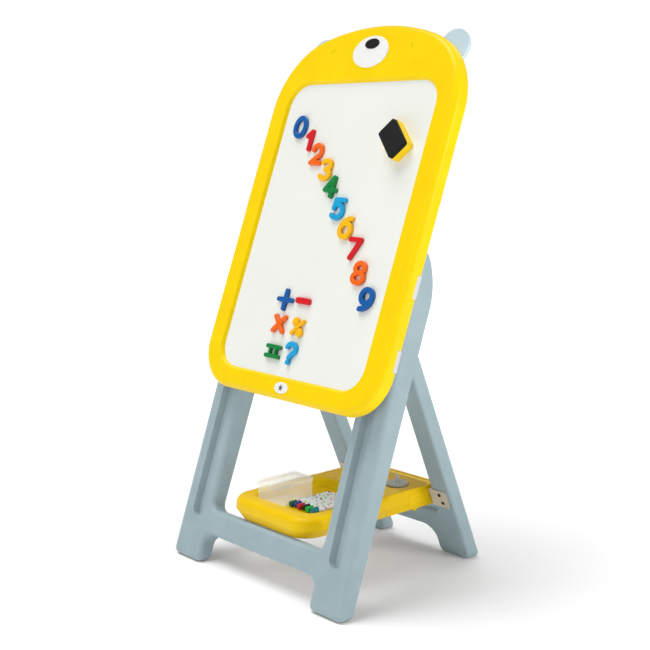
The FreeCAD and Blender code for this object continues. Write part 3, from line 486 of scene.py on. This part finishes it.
lid_clear = clear_plastic("clear_polystyrene", "FFFEFA", "F6EFD2", 0.12, 0.025, 0.16)
box_frosted = clear_plastic("frosted_polypropylene", "FEFEFC", "FBF7EE", 0.26, 0.15, 0.6)
wear("tray_lid", lid_clear)
for part in ("box_base", "box_lid"):
    wear(part, box_frosted)
print("clear parts:", "tray_lid", "box_base", "box_lid")

# %% [markdown]
# ## Steel, felt and foam
#
# Screws are steel with a dark chemical finish.  The eraser is a block of yellow foam
# plastic under a pad of black wool felt, whose loose fibres catch light at the edges:
# a sheen layer does that, over a bump of crossed fibres.

# %% Steel, felt and eraser body
def dark_steel():
    material, tree, shader = finish_called("blackened_steel")
    place = add(tree, "ShaderNodeTexCoord").outputs["Object"]
    spots = add(tree, "ShaderNodeTexNoise", Vector=place, Scale=700.0, Detail=2.0)
    sheen = add(tree, "ShaderNodeMapRange", Value=spots.outputs["Fac"], To_Min=0.32,
                To_Max=0.5)
    tree.links.new(sheen.outputs["Result"], shader.inputs["Roughness"])
    shader.inputs["Base Color"].default_value = srgb("15120F")
    shader.inputs["Metallic"].default_value = 0.3
    return material


def wool_felt():
    material, tree, shader = finish_called("wool_felt_black")
    place = add(tree, "ShaderNodeTexCoord").outputs["Object"]
    fibre = add(tree, "ShaderNodeTexNoise", Vector=place, Scale=700.0, Detail=4.0,
                Roughness=0.75, Distortion=1.5)
    clump = add(tree, "ShaderNodeTexNoise", Vector=place, Scale=120.0, Detail=3.0)
    colour = add(tree, "ShaderNodeMix", {"data_type": "RGBA"}, Factor=fibre.outputs["Fac"])
    colour.inputs["A"].default_value = srgb("080808")
    colour.inputs["B"].default_value = srgb("242525")
    lumps = add(tree, "ShaderNodeBump", Height=clump.outputs["Fac"], Strength=0.35,
                Distance=0.001)
    bump = add(tree, "ShaderNodeBump", Height=fibre.outputs["Fac"], Strength=0.9,
               Distance=0.0006, Normal=lumps.outputs["Normal"])
    tree.links.new(colour.outputs["Result"], shader.inputs["Base Color"])
    tree.links.new(bump.outputs["Normal"], shader.inputs["Normal"])
    shader.inputs["Roughness"].default_value = 0.95
    shader.inputs["Specular IOR Level"].default_value = 0.15
    shader.inputs["Sheen Weight"].default_value = 0.06
    shader.inputs["Sheen Roughness"].default_value = 0.5
    return material


steel = dark_steel()
felt = wool_felt()
for part in ("board_screws", "clip_screws", "bracket_screws", "hinge_pins",
             "tray_pivot_pins"):
    wear(part, steel)
wear("eraser_body", injected_plastic("foamed_eva_yellow", "FFD60A", 0.55, ripple=0.2))
wear("eraser_felt", felt)

# %% [markdown]
# ## Markers
#
# Six felt-tip markers lie in the tray.  The barrels are white polypropylene printed
# with confetti, and each cap is the colour of its ink.  The confetti is a cell pattern:
# each cell has its own random colour, and only its core is inked.

# %% Marker plastics
def confetti_barrel():
    material, tree, shader = finish_called("printed_polypropylene_confetti")
    place = add(tree, "ShaderNodeTexCoord").outputs["Object"]
    cells = add(tree, "ShaderNodeTexVoronoi", Vector=place, Scale=150.0, Randomness=0.9)
    ink = add(tree, "ShaderNodeHueSaturation", Saturation=3.0, Value=0.8,
              Color=cells.outputs["Color"])
    core = add(tree, "ShaderNodeMath", {"operation": "LESS_THAN"},
               i0=cells.outputs["Distance"], i1=0.33)
    colour = add(tree, "ShaderNodeMix", {"data_type": "RGBA"}, Factor=core.outputs["Value"])
    colour.inputs["A"].default_value = srgb("F2F2EF")
    tree.links.new(ink.outputs["Color"], colour.inputs["B"])
    tree.links.new(colour.outputs["Result"], shader.inputs["Base Color"])
    shader.inputs["Roughness"].default_value = 0.3
    return material


CAP_COLOURS = ("0F5F45", "2B3A8C", "C8141F", "141416", "12B535", "127F86")
barrel_pp = confetti_barrel()
for i, code in enumerate(CAP_COLOURS, 1):
    wear("marker_barrel_%d" % i, barrel_pp)
    wear("marker_cap_%d" % i, injected_plastic("moulded_cap_plastic_%d" % i, code, 0.28))

# %% [markdown]
# ## Magnetic signs with rounded edges
#
# The engineering model gives each number and sign its outline and thickness, with
# sharp edges.  The real ones come out of a mould with rounded edges that catch the
# light.  The mesh is first made whole: corners that lie on each other are joined, and
# the triangles of a flat face are dissolved into one face.  Then every sharp edge that
# isn't on the flat magnetic back is bevelled.

# %% Round the signs
SIGN_ROUND = 0.0016            # radius of a rounded edge
SAME_PLACE = 2e-6              # corners nearer than this are one corner
BACK_SKIN = 0.001              # edges this close to the magnetic back stay sharp
SHARP = 0.6                    # radians between two faces


def whole(part):
    """The part's mesh with its corners joined and its flat faces in one piece."""
    bm = bmesh.new()
    bm.from_mesh(nodes[part].data)
    bmesh.ops.remove_doubles(bm, verts=bm.verts, dist=SAME_PLACE)
    bmesh.ops.dissolve_limit(bm, angle_limit=math.radians(0.6), verts=bm.verts,
                             edges=bm.edges, delimit=set())
    return bm


def piece_from(bm, name, material, stands_for, body):
    """A shown object from a bmesh, riding on a body in place of a CAD part."""
    mesh = bpy.data.meshes.new(name)
    bm.to_mesh(mesh)
    bm.free()
    mesh.materials.append(material)
    obj = bpy.data.objects.new(name, mesh)
    bpy.context.collection.objects.link(obj)
    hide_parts(stands_for)
    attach(obj, body)
    return obj


def body_of(part):
    """The name of the body that a CAD part rides on."""
    return next(name for name, empty in frame["bodies"].items()
                if nodes[part].parent is empty)


def rounded_sign(part, material):
    bm = whole(part)
    back = min(BOARD_OUT.dot(v.co) for v in bm.verts)
    sharp = [e for e in bm.edges if e.is_manifold and e.calc_face_angle() > SHARP
             and max(BOARD_OUT.dot(v.co) for v in e.verts) > back + BACK_SKIN]
    bmesh.ops.bevel(bm, geom=sharp, offset=SIGN_ROUND, segments=3, profile=0.5,
                    affect="EDGES", clamp_overlap=True)
    for face in bm.faces:
        face.smooth = True
    return piece_from(bm, "rounded_" + part, material, part, body_of(part))


for part, key in zip(SIGN_NODES, SIGN_ORDER):
    made = rounded_sign(part, sign_abs[key])
print("signs rounded:", len(SIGN_NODES), "; faces in the last one:", len(made.data.polygons))

# %% [markdown]
# ## Screws from one recipe
#
# The easel is held together by identical screws, so they are drawn once and placed by
# Geometry Nodes.  The head is a low dome with a recess cut by a blade shape.  The
# places and sizes come from the engineering model: each separate solid of a screw node
# gives one point, with the direction that its head faces.

# %% Screw heads and their places
HEAD_SIDES = 48
BLADE_WIDE = 0.24              # in head radii, as are the next four
BLADE_TALL = 0.5
BLADE_MIDDLE = 0.33
SLOT_REACH = 2.6
CROSS_REACH = 1.25


def screw_head(name, blades):
    """A dome of radius 1 above z = 0 with a recess of one or two crossing blades."""
    profile = [(1.0, -0.35), (1.0, 0.05), (0.97, 0.13), (0.86, 0.22), (0.62, 0.31),
               (0.32, 0.36)]
    bm = bmesh.new()
    rings = []
    for r, z in profile:
        rings.append([bm.verts.new((r * math.cos(a), r * math.sin(a), z)) for a in
                      (2 * math.pi * i / HEAD_SIDES for i in range(HEAD_SIDES))])
    for low, high in zip(rings, rings[1:]):
        for i in range(HEAD_SIDES):
            j = (i + 1) % HEAD_SIDES
            bm.faces.new((low[i], low[j], high[j], high[i]))
    bm.faces.new(rings[-1])
    bm.faces.new(rings[0][::-1])
    head = bpy.data.objects.new(name, bpy.data.meshes.new(name))
    bm.to_mesh(head.data)
    bm.free()
    bpy.context.collection.objects.link(head)
    for i in range(blades):
        cutter = bpy.data.objects.new(name + "_blade", bpy.data.meshes.new("blade"))
        blade = bmesh.new()
        bmesh.ops.create_cube(blade, size=1.0)
        reach = SLOT_REACH if blades == 1 else CROSS_REACH
        bmesh.ops.scale(blade, verts=blade.verts, vec=(reach, BLADE_WIDE, BLADE_TALL))
        bmesh.ops.translate(blade, verts=blade.verts, vec=(0.0, 0.0, BLADE_MIDDLE))
        bmesh.ops.rotate(blade, verts=blade.verts,
                         matrix=Matrix.Rotation(math.pi / 2 * i, 3, "Z"))
        blade.to_mesh(cutter.data)
        blade.free()
        bpy.context.collection.objects.link(cutter)
        cut = head.modifiers.new("cut", "BOOLEAN")
        cut.operation = "DIFFERENCE"
        cut.solver = "EXACT"
        cut.object = cutter
        graph = bpy.context.evaluated_depsgraph_get()
        result = bpy.data.meshes.new_from_object(head.evaluated_get(graph))
        head.modifiers.clear()
        head.data = result
        bpy.data.objects.remove(cutter)
    return head


def screw_spots(part, facing):
    """Head centre and radius of every separate solid in a screw node."""
    bm = bmesh.new()
    bm.from_mesh(nodes[part].data)
    bmesh.ops.remove_doubles(bm, verts=bm.verts, dist=SAME_PLACE)
    left = set(bm.verts)
    spots = []
    while left:
        stack = [left.pop()]
        solid = list(stack)
        while stack:
            for edge in stack.pop().link_edges:
                for v in edge.verts:
                    if v in left:
                        left.remove(v)
                        stack.append(v)
                        solid.append(v)
        top = max(facing.dot(v.co) for v in solid)
        cap = [v.co for v in solid if facing.dot(v.co) > top - 0.0022]
        middle = sum(cap, Vector()) / len(cap)
        radius = max((c - middle - facing * facing.dot(c - middle)).length for c in cap)
        middle += facing * (top - facing.dot(middle))
        spots.append((middle, radius))
    bm.free()
    return spots


SCREW_SETS = {"board_screws": (-BOARD_OUT, "crossed"), "clip_screws": (BOARD_OUT, "crossed"),
              "bracket_screws": (REAR_OUT, "slotted")}
heads = {"slotted": screw_head("slotted_head", 1), "crossed": screw_head("crossed_head", 2)}
for part, (facing, kind) in SCREW_SETS.items():
    print(part, len(screw_spots(part, facing)), "screws,", kind)

# %% [markdown]
# The tree below takes a cloud of points.  Each point carries two values: `facing`, the
# direction of the screw, and `spin`, how far the last turn left its slot.  The head is
# turned to face, spun, scaled and placed, then made real and given its steel.

# %% Geometry Nodes tree that places the screws
def screw_tree():
    tree = bpy.data.node_groups.new("place_screws", "GeometryNodeTree")
    face = tree.interface
    face.new_socket("Geometry", in_out="INPUT", socket_type="NodeSocketGeometry")
    face.new_socket("Head", in_out="INPUT", socket_type="NodeSocketObject")
    face.new_socket("Radius", in_out="INPUT", socket_type="NodeSocketFloat")
    face.new_socket("Steel", in_out="INPUT", socket_type="NodeSocketMaterial")
    face.new_socket("Geometry", in_out="OUTPUT", socket_type="NodeSocketGeometry")
    source = tree.nodes.new("NodeGroupInput")
    head = add(tree, "GeometryNodeObjectInfo", Object=source.outputs["Head"])
    facing = add(tree, "GeometryNodeInputNamedAttribute", {"data_type": "FLOAT_VECTOR"},
                 Name="facing")
    spin = add(tree, "GeometryNodeInputNamedAttribute", {"data_type": "FLOAT"}, Name="spin")
    aim = add(tree, "FunctionNodeAlignRotationToVector", {"axis": "Z"},
              Vector=facing.outputs["Attribute"])
    turn = add(tree, "FunctionNodeAxisAngleToRotation", Axis=(0.0, 0.0, 1.0),
               Angle=spin.outputs["Attribute"])
    both = add(tree, "FunctionNodeRotateRotation", {"rotation_space": "LOCAL"},
               Rotation=aim.outputs["Rotation"], Rotate_By=turn.outputs["Rotation"])
    placed = add(tree, "GeometryNodeInstanceOnPoints", Points=source.outputs["Geometry"],
                 Instance=head.outputs["Geometry"], Rotation=both.outputs["Rotation"],
                 Scale=source.outputs["Radius"])
    real = add(tree, "GeometryNodeRealizeInstances", Geometry=placed.outputs["Instances"])
    painted = add(tree, "GeometryNodeSetMaterial", Geometry=real.outputs["Geometry"],
                  Material=source.outputs["Steel"])
    out = tree.nodes.new("NodeGroupOutput")
    tree.links.new(painted.outputs["Geometry"], out.inputs["Geometry"])
    return tree


def screws_for(part, facing, kind, tree, dice):
    spots = screw_spots(part, facing)
    radius = max(r for _, r in spots)
    cloud = bpy.data.meshes.new("screw_cloud")
    cloud.from_pydata([c - facing * radius * 0.3 for c, _ in spots], [], [])
    cloud.attributes.new("facing", "FLOAT_VECTOR", "POINT")
    cloud.attributes.new("spin", "FLOAT", "POINT")
    for i in range(len(spots)):
        cloud.attributes["facing"].data[i].vector = facing
        cloud.attributes["spin"].data[i].value = dice.uniform(0.0, math.pi)
    obj = bpy.data.objects.new("placed_" + part, cloud)
    bpy.context.collection.objects.link(obj)
    nest = obj.modifiers.new("place", "NODES")
    nest.node_group = tree
    sockets = {i.name: i.identifier for i in tree.interface.items_tree
               if i.item_type == "SOCKET" and i.in_out == "INPUT"}
    nest[sockets["Head"]] = heads[kind]
    nest[sockets["Radius"]] = radius
    nest[sockets["Steel"]] = steel
    graph = bpy.context.evaluated_depsgraph_get()
    obj.data = bpy.data.meshes.new_from_object(obj.evaluated_get(graph))
    obj.modifiers.clear()
    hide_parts(part)
    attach(obj, body_of(part))
    return obj


placing = screw_tree()
dice = random.Random(7)
for part, (facing, kind) in SCREW_SETS.items():
    made = screws_for(part, facing, kind, placing, dice)
    print(made.name, "faces:", len(made.data.polygons))
for head in heads.values():
    bpy.data.objects.remove(head)

# %% [markdown]
# ## Floor
#
# The floor is a pale matt sheet, much larger than the picture, so that its edge never
# shows.  Paper far from the lamps would turn grey and draw a horizon, so it glows a
# little more with distance, as a backlit sweep does.

# %% Lay the floor
PAPER_GLOW = 0.03
FAR_GLOW = 0.5
NEAR_M = 0.7                   # the glow grows from here
FAR_M = 2.2
FLOOR_HALF = 9.0
UNDER_FEET = 0.0005            # keeps the paper from sharing a plane with the feet


def studio_floor():
    mesh = bpy.data.meshes.new("studio_floor")
    h = FLOOR_HALF
    mesh.from_pydata([(-h, -h, 0), (h, -h, 0), (h, h, 0), (-h, h, 0)], [], [(0, 1, 2, 3)])
    floor = bpy.data.objects.new("studio_floor", mesh)
    floor.location.z = -UNDER_FEET
    bpy.context.collection.objects.link(floor)
    material, tree, shader = finish_called("matt_white_paper")
    shader.inputs["Base Color"].default_value = srgb("FAFAFA")
    shader.inputs["Roughness"].default_value = 0.9
    shader.inputs["Emission Color"].default_value = srgb("FFFFFF")
    place = add(tree, "ShaderNodeTexCoord").outputs["Object"]
    away = add(tree, "ShaderNodeVectorMath", {"operation": "LENGTH"}, i0=place)
    glow = add(tree, "ShaderNodeMapRange", Value=away.outputs["Value"], From_Min=NEAR_M,
               From_Max=FAR_M, To_Min=PAPER_GLOW, To_Max=FAR_GLOW)
    tree.links.new(glow.outputs["Result"], shader.inputs["Emission Strength"])
    mesh.materials.append(material)
    return floor


floor = studio_floor()
print("floor half width in m:", FLOOR_HALF)
